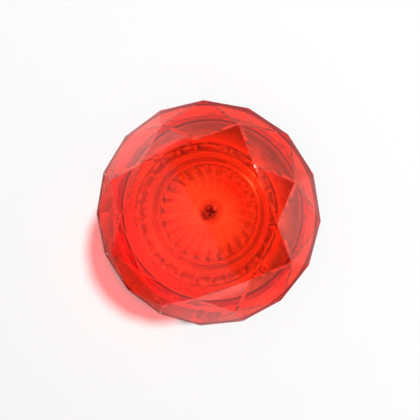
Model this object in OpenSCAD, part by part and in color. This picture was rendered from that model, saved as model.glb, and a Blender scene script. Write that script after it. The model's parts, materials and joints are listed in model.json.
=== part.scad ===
// Magnetic warning beacon with a gem-cut red dome over a ribbed ring lens.
// The origin lies at the middle of the underside, +Z is up, and the cable entry faces -Y.

/* [Dome] */
// Number of sides of the girdle, a multiple of 4; the table has half as many
girdle_sides = 16; // [12:4:20]
// Radius of the girdle, from the axis to its corners
girdle_r = 60; // [56:0.5:64]
// Height of the girdle above the dome's flange
dome_wall_h = 21.9; // [16:0.1:30]
// Radius of the flat table on top, from the axis to its corners
table_r = 36.4; // [32:0.2:40]
// Height of the table above the girdle
table_h = 18.5; // [14:0.5:24]
// Radius at which the tips of the star facets lie
star_r = 48; // [46:0.2:50]
// Thickness of the dome under its table
table_t = 3; // [2:0.1:4]
// Thickness of the crown, square to its facets
crown_t = 3; // [2:0.1:4]
// Thickness of the side wall at the middle of each side
dome_wall = 2.85; // [2.2:0.05:4]
// Number of fine upright flutes round the foot of the side wall, inside
flutes = 180; // [72:12:180]
// Depth of those flutes
flute_depth = 0.5; // [0.2:0.05:0.7]
// Height of those flutes
flute_h = 7; // [4:0.5:12]
// Thickness of the flange that sits on the seal
flange_t = 2.5; // [2:0.1:4]
// Wall of the round spigot under the flange
spigot_wall = 2.4; // [1.8:0.1:3]

/* [Bayonet] */
// Number of lugs on the spigot and of hooks in the base
lugs = 4; // [3:1:5]
// Angle that one lug spans
lug_angle = 18; // [12:1:22]
// Angle that one hook spans
hook_angle = 22; // [18:1:26]
// Height of a lug, and of a hook
lug_h = 2.5; // [2:0.1:3.5]
// How far a hook stands in from the base wall
hook_depth = 1.7; // [1.4:0.1:2.5]
// Distance between the spigot and the hooks
hook_gap = 0.6; // [0.4:0.1:1]
// Distance between the lugs and the base wall
lug_gap = 0.5; // [0.3:0.1:0.6]
// Distance between a lug and the hook above it
lift_gap = 0.3; // [0.2:0.05:0.5]
// Distance from the rim of the base down to the hooks
hook_drop = 1.4; // [1:0.1:3]
// Thickness of the dome's flat rubber seal
seal_t = 1.5; // [1:0.1:2.5]

/* [Ring lens] */
// Radius of the hub
hub_r = 11; // [9:0.5:13]
// Height of the hub
hub_h = 4.6; // [4:0.1:6]
// Radius of the floor of the bowl, at the foot of its ribbed wall
bowl_floor_r = 24; // [22:0.5:26]
// Height of the floor's edge above the board
bowl_floor_h = 5; // [4:0.1:7]
// Radius of the inner rim, at the top of the ribbed wall
inner_rim_r = 30; // [28:0.5:31]
// Height of the inner rim above the board
inner_rim_h = 17.5; // [14:0.5:20]
// Radius of the foot of the outer ribbed band
band_r = 35.6; // [34:0.2:36]
// Height of the foot of that band above the board
band_h = 28.6; // [24:0.2:30]
// How far the outer band widens towards its top
band_flare = 2.2; // [1.6:0.1:2.8]
// Height of the ring lens
lens_h = 35.5; // [33:0.5:37]
// Width of the ring lens's top edge
lens_edge_w = 1.6; // [1.2:0.1:2]
// How far the outside of the ring lens widens towards its foot
drum_flare = 2.6; // [2:0.1:3]
// Wall of the ring lens
lens_wall = 2; // [1.6:0.1:2.4]
// Number of raised lines on the bowl's floor
floor_lines = 24; // [12:2:36]
// Number of ribs on the bowl's inner wall
wall_ribs = 30; // [18:2:36]
// Number of ribs on the outer band
band_ribs = 48; // [24:4:60]
// Width of a raised line on the floor
line_w = 0.8; // [0.5:0.1:1.2]
// Width of a rib on the inner wall
wall_rib_w = 1.8; // [1:0.1:2.2]
// Width of a rib on the outer band
band_rib_w = 1.9; // [1:0.1:2.4]
// How far the lines and ribs stand out
rib_out = 0.6; // [0.3:0.1:0.9]
// How far the lines and ribs stop short of the edges of their face
rib_short = 0.8; // [0.4:0.1:1.5]

/* [Boards] */
// Thickness of both circuit boards
board_t = 1.6; // [1:0.1:2]
// How far the light board reaches past the ring lens
led_board_rim = 1.2; // [0.6:0.1:1.4]
// Distance between the driver board and the deck's posts
board_gap = 0.8; // [0.3:0.1:1.5]
// Height of the moulded standoffs under the driver board
standoff_h = 3.5; // [3.5:0.1:5]
// Height of the brass spacers between the boards
spacer_h = 7.5; // [7.3:0.1:9]
// Width of a brass spacer across its flats
spacer_af = 5; // [4.5:0.1:5.5]
// Distance from the ring lens's foot in to the heads of the light board's screws
spacer_gap = 0.7; // [0.3:0.1:1.5]
// Number of light-emitting diodes
leds = 24; // [12:3:24]
// Distance from those heads in to the diodes
led_gap = 0.2; // [0.1:0.1:2]
// Length of the side of a diode
led_w = 5; // [3.5:0.1:5]
// Height of a diode
led_h = 1.6; // [0.8:0.1:2]

/* [Deck] */
// Thickness of the white deck plate
deck_t = 1.8; // [1.2:0.1:2.4]
// Width of the lip round the deck's hole
deck_lip_w = 1.4; // [1:0.1:2]
// Height of that lip above the deck
deck_lip_h = 2; // [1:0.1:3]
// Thickness of the deck's upright outer rim
deck_rim_t = 1.4; // [1:0.1:2]
// Radial clearance between that rim and the inside of the dome
deck_rim_gap = 0.5; // [0.3:0.1:1]
// Distance from the top of the dome's flange down to that rim
deck_rim_drop = 0.5; // [0.3:0.1:4]
// Distance from the gland's lock nut up to the deck
nut_gap = 0.5; // [0.3:0.1:2]
// Radius of a deck post
post_r = 3.2; // [2.8:0.1:3.4]
// Number of deck posts and screws
posts = 4; // [4:4:8]

/* [Base] */
// Wall of the base
base_wall = 2.8; // [2:0.1:4]
// Thickness of the base's floor
floor_t = 3; // [2.5:0.1:3.6]
// Radius of the rounded lower edge of the base
base_round = 6.5; // [4:0.5:8]
// Distance from the deck's top up to the spigot
spigot_gap = 0.5; // [0.3:0.1:1]
// Radius of the centre boss that takes the lens screw
boss_r = 6.5; // [5:0.1:7]
// Depth of the groove round the base wall
groove_d = 0.6; // [0.2:0.1:1]
// Height of that groove
groove_h = 1.4; // [0.8:0.1:3]
// Distance from the rim down to that groove
groove_drop = 3.2; // [2:0.1:6]

/* [Cable gland] */
// Diameter of the gland's thread
gland_d = 12; // [10:0.5:12]
// Diameter of the cable that the gland takes
cable_d = 6.2; // [4:0.1:6.4]
// Height of the gland's axis above the floor of the base
gland_rise = 11.8; // [11.6:0.1:12]
// Width of the flat pad that the gland seats on
pad_w = 19; // [18:0.5:19]
// Distance from the dome's spigot down to the top of that pad
pad_drop = 0.8; // [0.4:0.1:1.5]
// How far the pad stands out from the base wall
pad_out = 1.5; // [1:0.1:3]
// How far the pad stands in from the base wall
pad_in = 0.8; // [0.4:0.1:1]
// Width of the gland's hexagons across their flats
gland_af = 15; // [14.5:0.1:15]
// Height of the gland's hexagon
gland_hex_h = 4; // [3:0.1:6]
// Height of the gland's lock nut
locknut_h = 4; // [3:0.1:5]
// Length of the gland's collar, which the cap nut covers
collar_h = 5; // [4:0.1:7]
// Height of the gland's cap nut
cap_h = 9; // [8:0.1:12]
// Thickness of the gland's rubber washer
gland_washer_t = 1; // [0.6:0.1:1.5]

/* [Magnet] */
// Radius of the steel magnet cup
cup_r = 43; // [38:0.5:46]
// Side wall of the cup
cup_wall = 2.5; // [1.5:0.1:4]
// Thickness of the cup's roof
cup_roof_t = 2.2; // [2:0.1:3]
// Thickness of the ring magnet
magnet_t = 7.5; // [5:0.1:12]
// Radius of the hole in the ring magnet
magnet_hole_r = 12; // [8:0.5:18]
// Thickness of the rubber boot under the magnet
boot_skin = 1.5; // [1:0.1:3]
// Thickness of the rubber boot round the cup
boot_wall = 2.3; // [1.5:0.1:4]
// Number of ring grooves in the sole of the boot
sole_grooves = 3; // [1:1:3]
// Depth of those grooves
sole_groove_d = 0.5; // [0.3:0.1:0.8]
// Width of those grooves
sole_groove_w = 2; // [1:0.5:4]

/* [Screws] */
// Diameter of the lens screw and of the magnet screws
big_screw_d = 4; // [3.5:0.1:4.2]
// Diameter of a big screw's head
big_head_d = 8; // [7:0.1:8.4]
// Height of a big screw's head
big_head_h = 2.1; // [1.8:0.1:2.1]
// Diameter of the board screws and of the deck screws
small_screw_d = 3; // [2.5:0.1:3]
// Diameter of a small screw's head
small_head_d = 5.6; // [5:0.1:5.8]
// Height of a small screw's head
small_head_h = 2; // [1.6:0.1:2.4]
// Length of a small screw's shank
small_screw_l = 7; // [6:0.1:7]
// Radius of the circle of the magnet screws
magnet_screw_ring_r = 26; // [20:0.5:27]
// Thickness of a washer
washer_t = 1; // [0.6:0.1:1]
// Length of the brass insert in the centre boss
insert_l = 8; // [6:0.1:9]

/* [Fits] */
// Radial clearance between a screw and the thread that it turns in
thread_gap = 0.05; // [0.02:0.01:0.1]
// Radial clearance between a screw and a plain hole
hole_gap = 0.3; // [0.1:0.05:0.4]
// Radial clearance between the magnet and its cup
magnet_gap = 0.3; // [0.1:0.05:0.5]
// Radial clearance between the boot and the cup, and between other pressed rings
ring_gap = 0.1; // [0.05:0.05:0.2]
// Distance round the ring lens to the deck
deck_gap = 0.6; // [0.3:0.1:1]

/* [Hidden] */

$fn = 96;
arc_steps = 8;
side_angle = 360 / girdle_sides;
eps = 0.01;

roof_under_z = boot_skin + magnet_t;
base_z = roof_under_z + cup_roof_t;
floor_z = base_z + floor_t;
driver_z = floor_z + standoff_h;
led_z = driver_z + board_t + spacer_h;
lens_z = led_z + board_t;
deck_rise = gland_rise + gland_af / 2 + nut_gap;
deck_z = floor_z + deck_rise;
spigot_z = deck_z + deck_t + spigot_gap;
hook_z = spigot_z + lug_h + lift_gap;
rim_z = hook_z + lug_h + hook_drop;
flange_z = rim_z + seal_t;
wall_z = flange_z + flange_t;
girdle_z = wall_z + dome_wall_h;
table_z = girdle_z + table_h;
gland_z = floor_z + gland_rise;

girdle_flat_r = girdle_r * cos(side_angle / 2);
cavity_r = girdle_flat_r - dome_wall;
spigot_r = cavity_r + spigot_wall;
hook_r = spigot_r + hook_gap;
base_in_r = hook_r + hook_depth;
base_r = base_in_r + base_wall;
lug_r = base_in_r - lug_gap;
lug_azimuth = 45;
hub_hole_r = big_head_d / 2 + 0.8;
hub_floor_t = hub_h - big_head_h - washer_t;
bowl_top_r = band_r + band_flare;
lens_top_r = bowl_top_r + lens_edge_w;
lens_foot_r = lens_top_r + drum_flare;
led_board_r = lens_foot_r + led_board_rim;
spacer_ring_r = lens_foot_r - lens_wall - small_head_d / 2 - spacer_gap;
spacer_azimuth = 90 + 180 / leds;
led_ring_r = spacer_ring_r - small_head_d / 2 - led_w / 2 - led_gap;
deck_hole_r = lens_foot_r + deck_gap;
post_ring_r = (deck_hole_r + deck_lip_w + cavity_r) / 2;
driver_board_r = post_ring_r - post_r - board_gap;
deck_r = base_in_r - pad_in - 0.4;
deck_rim_r = cavity_r - deck_rim_gap;
deck_rim_h = wall_z - deck_rim_drop - deck_z;
insert_r = big_screw_d / 2 + 1;
pad_t = pad_in + pad_out + base_wall;
pad_h = 2 * (spigot_z - pad_drop - gland_z);
gland_r = gland_d / 2;
star_h = table_h * (girdle_r - star_r * cos(side_angle)) / (girdle_r - table_r);
seal_in_r = base_in_r + 0.3;
seal_out_r = base_r - 0.3;

// Points of a round corner at p, between the straight runs from a and to b
function unit(v) = v / norm(v);
function corner(a, p, b, r) =
    let (u = unit(a - p), w = unit(b - p), half = acos(u * w) / 2,
         mid = p + unit(u + w) * r / sin(half),
         p1 = p + u * r / tan(half), p2 = p + w * r / tan(half),
         a1 = atan2(p1.y - mid.y, p1.x - mid.x), a2 = atan2(p2.y - mid.y, p2.x - mid.x),
         turn = a2 - a1 > 180 ? a2 - a1 - 360 : a2 - a1 < -180 ? a2 - a1 + 360 : a2 - a1)
    [for (i = [0 : arc_steps]) mid + r * [cos(a1 + turn * i / arc_steps), sin(a1 + turn * i / arc_steps)]];

module ring(r_out, r_in, h) {
    difference() {
        cylinder(r = r_out, h = h);
        translate([0, 0, -1]) cylinder(r = r_in, h = h + 2);
    }
}

module sector(r_in, r_out, z, h, middle, width) {
    rotate([0, 0, middle - width / 2]) rotate_extrude(angle = width)
        translate([r_in, z]) square([r_out - r_in, h]);
}

module around(count, r, start = 0) {
    for (i = [0 : count - 1]) rotate([0, 0, start + i * 360 / count]) translate([r, 0, 0]) children();
}

module hexagon(af, h) {
    cylinder(r = af / 2 / cos(30), h = h, $fn = 6);
}

module cross_screw(d, l, head_d, head_h) {
    slot_w = head_d * 0.16;
    slot_l = head_d * 0.6;
    difference() {
        union() {
            translate([0, 0, -l]) cylinder(d = d, h = l);
            cylinder(d = head_d, h = head_h * 0.6);
            translate([0, 0, head_h * 0.6]) cylinder(d1 = head_d, d2 = head_d * 0.8, h = head_h * 0.4);
        }
        translate([-slot_l / 2, -slot_w / 2, head_h * 0.4]) cube([slot_l, slot_w, head_h]);
        translate([-slot_w / 2, -slot_l / 2, head_h * 0.4]) cube([slot_w, slot_l, head_h]);
    }
}

// All that lies above a flat facet through two points of one radial plane, or so far in from it
module facet(azimuth, r_low, z_low, r_high, z_high, inset) {
    tilt = atan((z_high - z_low) / (r_low - r_high));
    size = 3 * girdle_r;
    rotate([0, 0, azimuth]) translate([r_low, 0, girdle_z + z_low]) rotate([0, tilt, 0])
        translate([-size / 2, -size / 2, -inset]) cube(size);
}

module crown_facets(inset) {
    for (i = [0 : girdle_sides - 1])
        facet((i + 0.5) * side_angle, girdle_flat_r, 0, star_r * cos(side_angle / 2), star_h, inset);
    for (i = [0 : girdle_sides / 2 - 1]) {
        facet(2 * i * side_angle, girdle_r, 0, table_r, table_h, inset);
        facet((2 * i + 1) * side_angle, star_r, star_h, table_r * cos(side_angle), table_h, inset);
    }
}

module cut_gem() {
    difference() {
        translate([0, 0, flange_z]) cylinder(r = girdle_r, h = table_z - flange_z, $fn = girdle_sides);
        crown_facets(0);
    }
}

module dome_cavity() {
    difference() {
        translate([0, 0, spigot_z - 1]) cylinder(r = cavity_r, h = table_z - table_t - spigot_z + 1);
        crown_facets(crown_t);
    }
    translate([0, 0, wall_z]) linear_extrude(flute_h)
        polygon([for (i = [0 : 2 * flutes - 1])
            (cavity_r - eps + (i % 2) * flute_depth) * [cos(i * 180 / flutes), sin(i * 180 / flutes)]]);
}

module dome() {
    color([0.85, 0.06, 0.03, 0.6]) difference() {
        union() {
            cut_gem();
            translate([0, 0, flange_z]) cylinder(r = base_r, h = flange_t);
            translate([0, 0, spigot_z]) cylinder(r = spigot_r, h = flange_z - spigot_z + flange_t);
            for (i = [0 : lugs - 1])
                sector(spigot_r - 1, lug_r, spigot_z, lug_h, i * 360 / lugs + lug_azimuth, lug_angle);
        }
        dome_cavity();
    }
}

module dome_seal() {
    color("dimgray") translate([0, 0, rim_z]) ring(seal_out_r, seal_in_r, seal_t);
}

// A row of ribs that lie on a cone between two points of the bowl's section
module rib_row(count, low, high, width) {
    run = norm(high - low);
    lean = atan2(high.y - low.y, high.x - low.x);
    for (i = [0 : count - 1]) rotate([0, 0, i * 360 / count]) translate([low.x, 0, lens_z + low.y])
        rotate([0, -lean, 0]) translate([rib_short, -width / 2, -lens_wall / 2])
            cube([run - 2 * rib_short, width, lens_wall / 2 + rib_out]);
}

module ring_lens() {
    hub_edge = [hub_r, bowl_floor_h - 1.6];
    floor_edge = [bowl_floor_r, bowl_floor_h];
    inner_rim = [inner_rim_r, inner_rim_h];
    band_foot = [band_r, band_h];
    bowl_top = [bowl_top_r, lens_h];
    wall_tilt = atan2(inner_rim_h - bowl_floor_h, inner_rim_r - bowl_floor_r);
    cone_tilt = atan2(band_h - inner_rim_h, band_r - inner_rim_r);
    cone_out = lens_wall * [sin(cone_tilt), -cos(cone_tilt)];
    under_floor = floor_edge + [lens_wall * tan(wall_tilt / 2), -lens_wall];
    under_rim = inner_rim + cone_out;
    under_band = band_foot + cone_out;
    drum_in_r = lens_foot_r - lens_wall;
    drum_top_r = drum_in_r - (lens_foot_r - lens_top_r) * under_band.y / lens_h;
    color([0.95, 0.93, 0.9, 0.7]) union() {
        translate([0, 0, lens_z]) rotate_extrude() polygon([
            [big_screw_d / 2 + hole_gap, 0], [hub_r, 0], [hub_r, hub_edge.y - lens_wall], under_floor,
            under_rim, under_band, [drum_top_r, under_band.y], [drum_in_r, 0], [lens_foot_r, 0],
            [lens_top_r, lens_h], bowl_top, band_foot, inner_rim, floor_edge, hub_edge,
            [hub_r, hub_h], [hub_hole_r, hub_h], [hub_hole_r, hub_floor_t], [big_screw_d / 2 + hole_gap, hub_floor_t]]);
        rib_row(floor_lines, hub_edge, floor_edge, line_w);
        rib_row(wall_ribs, floor_edge, inner_rim, wall_rib_w);
        rib_row(band_ribs, band_foot, bowl_top, band_rib_w);
    }
}

module lens_screw() {
    color("darkgray") translate([0, 0, lens_z + hub_floor_t + washer_t])
        cross_screw(big_screw_d, hub_floor_t + washer_t + board_t + insert_l, big_head_d, big_head_h);
}

module lens_washer() {
    color("silver") translate([0, 0, lens_z + hub_floor_t])
        ring(hub_hole_r - hole_gap, big_screw_d / 2 + thread_gap, washer_t);
}

module lens_insert() {
    color("goldenrod") translate([0, 0, led_z - insert_l - 1])
        ring(insert_r, big_screw_d / 2 + thread_gap, insert_l + 1);
}

module spacer_places() {
    around(3, spacer_ring_r, spacer_azimuth) children();
}

module led_board() {
    color("white") translate([0, 0, led_z]) difference() {
        cylinder(r = led_board_r, h = board_t);
        translate([0, 0, -1]) cylinder(r = big_screw_d / 2 + hole_gap, h = board_t + 2);
        translate([0, 0, -1]) spacer_places() cylinder(r = small_screw_d / 2 + hole_gap, h = board_t + 2);
    }
}

module leds_ring() {
    color("lemonchiffon") translate([0, 0, lens_z]) around(leds, led_ring_r) {
        difference() {
            translate([-led_w / 2, -led_w / 2, 0]) cube([led_w, led_w, led_h]);
            translate([0, 0, led_h * 0.6]) cylinder(d1 = led_w * 0.6, d2 = led_w * 0.84, h = led_h * 0.4 + eps);
        }
    }
}

// Small box-shaped component with a metal cap at each end
module chip_part(l, w, h) {
    translate([-l / 2, -w / 2, 0]) cube([l, w, h]);
}

resistor_l = 2;
resistor_w = 1.25;
resistor_h = 0.6;

module led_resistors() {
    color("black") translate([0, 0, lens_z]) around(leds / 3, led_ring_r - led_w, 180 / leds)
        rotate([0, 0, 90]) chip_part(resistor_l, resistor_w, resistor_h);
}

module led_board_screws() {
    color("silver") translate([0, 0, lens_z]) spacer_places()
        cross_screw(small_screw_d, spacer_h / 2 + board_t, small_head_d, small_head_h);
}

module board_spacers() {
    stud_r = small_screw_d / 2;
    stud_l = board_t + standoff_h - 0.5;
    color("goldenrod") translate([0, 0, driver_z + board_t]) spacer_places() difference() {
        union() {
            hexagon(spacer_af, spacer_h);
            translate([0, 0, -stud_l]) cylinder(r = stud_r, h = stud_l + 1);
        }
        translate([0, 0, spacer_h / 2 - 0.5]) cylinder(r = stud_r + thread_gap, h = spacer_h);
    }
}

module driver_board() {
    color("darkgreen") translate([0, 0, driver_z]) difference() {
        cylinder(r = driver_board_r, h = board_t);
        translate([0, 0, -1]) cylinder(r = boss_r + hole_gap, h = board_t + 2);
        translate([0, 0, -1]) spacer_places() cylinder(r = small_screw_d / 2 + hole_gap, h = board_t + 2);
    }
}

// Places of the driver board's components, from the axis
inductor_at = [20, 17];
inductor_w = 12;
inductor_h = 6;
capacitor_at = [[-15, 21], [-25, 13]];
capacitor_d = 8;
capacitor_h = 6.2;
chip_at = [[14, -12], [-14, -12]];
chip_l = 5;
chip_w = 4;
chip_h = 1.6;
chip_pin_pitch = 1.27;
diode_at = [[28, -4], [28, -10]];
driver_resistor_at = [22, -20];
driver_resistors_n = 6;
header_at = [-28, -14];
header_pins = 4;
header_pitch = 2.54;
terminal_inset = 8;
terminal_at = [0, terminal_inset - driver_board_r];
terminal_l = 10.2;
terminal_w = 7.6;
terminal_h = spacer_h - 0.7;

module on_driver(place) {
    translate([place.x, place.y, driver_z + board_t]) children();
}

module inductor() {
    color("dimgray") on_driver(inductor_at) {
        foot_h = 0.8;
        translate([-inductor_w / 2, -inductor_w / 2, 0]) cube([inductor_w, inductor_w, foot_h]);
        translate([0, 0, foot_h - eps]) cylinder(d = inductor_w - 1, h = 1.2);
        translate([0, 0, foot_h + 1]) cylinder(d = inductor_w - 3, h = inductor_h - foot_h - 2);
        translate([0, 0, inductor_h - 1.2]) cylinder(d = inductor_w - 1, h = 1.2);
    }
}

module capacitors() {
    color("lightsteelblue") for (place = capacitor_at) on_driver(place) {
        translate([-capacitor_d / 2, -capacitor_d / 2, 0]) cube([capacitor_d, capacitor_d, 1]);
        cylinder(d = capacitor_d - 0.4, h = capacitor_h);
    }
}

module driver_chips() {
    color("black") for (place = chip_at) on_driver(place) {
        translate([-chip_l / 2, -chip_w / 2, 0.15]) cube([chip_l, chip_w, chip_h - 0.15]);
        for (i = [0 : 3]) translate([(i - 1.5) * chip_pin_pitch - 0.2, -chip_w / 2 - 1, 0])
            cube([0.4, chip_w + 2, 0.5]);
    }
}

module rectifier_diodes() {
    color("black") for (place = diode_at) on_driver(place) {
        translate([-2.2, -1.3, 0.1]) cube([4.4, 2.6, 2]);
        translate([-2.7, -0.8, 0]) cube([5.4, 1.6, 0.4]);
    }
}

module driver_resistors() {
    color("black") for (i = [0 : driver_resistors_n - 1])
        on_driver(driver_resistor_at + [(i % 2) * 4, -floor(i / 2) * 2.4])
            chip_part(resistor_l, resistor_w, resistor_h);
}

module link_header() {
    color("black") on_driver(header_at) rotate([0, 0, 90]) for (i = [0 : header_pins - 1])
        translate([(i - (header_pins - 1) / 2) * header_pitch, 0, 0]) {
            translate([-header_pitch / 2, -header_pitch / 2, 0]) cube([header_pitch, header_pitch, spacer_h]);
        }
}

module terminal_block() {
    entry_d = 3.2;
    color("seagreen") on_driver(terminal_at) difference() {
        translate([-terminal_l / 2, -terminal_w / 2, 0]) cube([terminal_l, terminal_w, terminal_h]);
        for (side = [-1, 1]) translate([side * terminal_l / 4, 0, 0]) {
            translate([0, 0, terminal_h - 2.4]) cylinder(d = small_screw_d + 0.8, h = 3);
            translate([0, -terminal_w / 2 - 1, 2.2]) rotate([-90, 0, 0]) cylinder(d = entry_d, h = terminal_w / 2 + 1);
        }
    }
}

module terminal_screws() {
    color("silver") on_driver(terminal_at) for (side = [-1, 1])
        translate([side * terminal_l / 4, 0, terminal_h - 2.4]) difference() {
            cylinder(d = small_screw_d + 0.6, h = 1.6);
            translate([-2, -0.3, 0.9]) cube([4, 0.6, 2]);
        }
}

module post_places() {
    around(posts, post_ring_r, lug_azimuth) children();
}

module deck_plate() {
    color("white") translate([0, 0, deck_z]) difference() {
        union() {
            cylinder(r = deck_r, h = deck_t);
            ring(deck_hole_r + deck_lip_w, deck_hole_r, deck_t + deck_lip_h);
            ring(deck_rim_r, deck_rim_r - deck_rim_t, deck_rim_h);
        }
        translate([0, 0, -1]) cylinder(r = deck_hole_r, h = deck_t + 2);
        translate([0, 0, -1]) post_places() cylinder(r = small_screw_d / 2 + hole_gap, h = deck_t + 2);
    }
}

module deck_screws() {
    color("silver") translate([0, 0, deck_z + deck_t]) post_places()
        cross_screw(small_screw_d, small_screw_l, small_head_d, small_head_h);
}

// Sets a piece on the gland's axis, with its +Z pointing out of the base from the pad
module at_gland() {
    translate([0, -(base_r + pad_out), gland_z]) rotate([90, 0, 0]) children();
}

module base_shell() {
    in_round = base_round - base_wall;
    outer = corner([0, base_z], [base_r, base_z], [base_r, rim_z], base_round);
    inner = corner([base_in_r, rim_z], [base_in_r, floor_z], [0, floor_z], in_round);
    groove_top = rim_z - groove_drop;
    rotate_extrude() polygon(concat([[0, base_z]], outer,
        [[base_r, groove_top - groove_h], [base_r - groove_d, groove_top - groove_h],
         [base_r - groove_d, groove_top], [base_r, groove_top], [base_r, rim_z], [base_in_r, rim_z]],
        inner, [[0, floor_z]]));
}

module base_housing() {
    stop_angle = 3;
    stop_gap_angle = 0.4;
    pilot_r = small_screw_d / 2 + thread_gap;
    color([0.08, 0.08, 0.085]) difference() {
        union() {
            base_shell();
            translate([0, 0, floor_z - 1]) cylinder(r = boss_r, h = led_z - floor_z + 1);
            translate([0, 0, floor_z - 1]) spacer_places() cylinder(r = small_screw_d / 2 + 1.8, h = standoff_h + 1);
            translate([0, 0, floor_z - 1]) post_places() cylinder(r = post_r, h = deck_rise + 1);
            for (i = [0 : lugs - 1]) {
                middle = i * 360 / lugs + lug_azimuth;
                sector(hook_r, base_in_r + 1, hook_z, lug_h, middle, hook_angle);
                sector(hook_r + 0.1, base_in_r + 1, spigot_z, hook_z + lug_h / 2 - spigot_z,
                    middle - lug_angle / 2 - stop_gap_angle - stop_angle / 2, stop_angle);
            }
            translate([-pad_w / 2, -base_r - pad_out, gland_z - pad_h / 2]) cube([pad_w, pad_t, pad_h]);
        }
        translate([0, 0, led_z - insert_l - 1]) cylinder(r = insert_r + eps, h = insert_l + 2);
        translate([0, 0, floor_z]) spacer_places() cylinder(r = pilot_r, h = standoff_h + 1);
        translate([0, 0, deck_z - small_screw_l]) post_places() cylinder(r = pilot_r, h = small_screw_l + 1);
        translate([0, 0, base_z - 1]) magnet_screw_places()
            cylinder(r = big_screw_d / 2 + hole_gap, h = floor_t + 2);
        at_gland() translate([0, 0, -pad_t - 1]) cylinder(r = gland_r + thread_gap, h = pad_t + 2);
    }
}

module gland_body() {
    hex_z = gland_washer_t;
    collar_z = hex_z + gland_hex_h;
    inside_l = pad_t + locknut_h + 1.5;
    color([0.1, 0.1, 0.1]) at_gland() difference() {
        union() {
            translate([0, 0, -inside_l]) cylinder(r = gland_r, h = inside_l + hex_z + 1);
            translate([0, 0, hex_z]) hexagon(gland_af, gland_hex_h);
            translate([0, 0, collar_z - 1]) cylinder(r = gland_r, h = collar_h + 1);
        }
        translate([0, 0, -inside_l - 1]) cylinder(d = cable_d + 0.8, h = inside_l + collar_z + collar_h + 2);
        translate([0, 0, collar_z]) cylinder(r = gland_r - 1, h = collar_h + 1);
    }
}

module gland_washer() {
    color("dimgray") at_gland() ring(gland_af / 2, gland_r + thread_gap, gland_washer_t);
}

module gland_locknut() {
    color([0.1, 0.1, 0.1]) at_gland() translate([0, 0, -pad_t - locknut_h]) difference() {
        hexagon(gland_af, locknut_h);
        translate([0, 0, -1]) cylinder(r = gland_r + thread_gap, h = locknut_h + 2);
    }
}

module gland_seal() {
    color("dimgray") at_gland() translate([0, 0, gland_washer_t + gland_hex_h])
        ring(gland_r - 1 - ring_gap, cable_d / 2, collar_h);
}

module gland_cap() {
    cap_z = gland_washer_t + gland_hex_h + 0.4;
    roof_z = gland_washer_t + gland_hex_h + collar_h;
    top_z = cap_z + cap_h;
    color([0.1, 0.1, 0.1]) at_gland() difference() {
        intersection() {
            translate([0, 0, cap_z]) hexagon(gland_af, cap_h);
            translate([0, 0, cap_z]) rotate_extrude() polygon(concat([[0, 0], [gland_af, 0]],
                [[gland_af, cap_h * 0.3]], [[gland_af / 2, cap_h * 0.62]],
                corner([gland_af / 2, cap_h * 0.62], [gland_af / 2 - 1, cap_h], [0, cap_h], 1.5), [[0, cap_h]]));
        }
        translate([0, 0, cap_z - 1]) cylinder(r = gland_r + thread_gap, h = roof_z - cap_z + 1);
        translate([0, 0, cap_z]) cylinder(d = cable_d + 0.6, h = top_z);
    }
}

module magnet_screw_places() {
    around(3, magnet_screw_ring_r, 30) children();
}

module magnet_cup() {
    color("silver") translate([0, 0, boot_skin]) difference() {
        cylinder(r = cup_r, h = magnet_t + cup_roof_t);
        translate([0, 0, -1]) cylinder(r = cup_r - cup_wall, h = magnet_t + 1);
        translate([0, 0, magnet_t - 1]) magnet_screw_places()
            cylinder(r = big_screw_d / 2 + thread_gap, h = cup_roof_t + 2);
    }
}

module ring_magnet() {
    color([0.2, 0.2, 0.22]) translate([0, 0, boot_skin])
        ring(cup_r - cup_wall - magnet_gap, magnet_hole_r, magnet_t);
}

module magnet_screws() {
    color("silver") translate([0, 0, floor_z + washer_t]) magnet_screw_places()
        cross_screw(big_screw_d, washer_t + floor_t + cup_roof_t - 0.3, big_head_d, big_head_h);
}

module magnet_screw_seals() {
    color("dimgray") translate([0, 0, floor_z]) magnet_screw_places()
        ring(big_head_d / 2 + 0.3, big_screw_d / 2 + thread_gap, washer_t);
}

module rubber_boot() {
    boot_r = cup_r + ring_gap + boot_wall;
    boot_h = base_z - 0.3;
    groove_step = (cup_r - 6) / sole_grooves;
    color([0.12, 0.12, 0.12]) difference() {
        rotate_extrude() polygon(concat([[0, 0]], corner([0, 0], [boot_r, 0], [boot_r, boot_h], 1),
            [[boot_r, boot_h - 0.6], [boot_r - 0.6, boot_h], [0, boot_h]]));
        translate([0, 0, boot_skin]) cylinder(r = cup_r + ring_gap, h = boot_h);
        for (i = [1 : sole_grooves]) translate([0, 0, -1])
            ring(i * groove_step + sole_groove_w / 2, i * groove_step - sole_groove_w / 2, 1 + sole_groove_d);
    }
}

dome();
dome_seal();
ring_lens();
lens_screw();
lens_washer();
lens_insert();
led_board();
leds_ring();
led_resistors();
led_board_screws();
board_spacers();
driver_board();
inductor();
capacitors();
driver_chips();
rectifier_diodes();
driver_resistors();
link_header();
terminal_block();
terminal_screws();
deck_plate();
deck_screws();
base_housing();
gland_body();
gland_washer();
gland_locknut();
gland_seal();
gland_cap();
magnet_cup();
ring_magnet();
magnet_screws();
magnet_screw_seals();
rubber_boot();
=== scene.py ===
import json
import math
import bmesh
import bpy
from mathutils import Matrix, Vector

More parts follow.
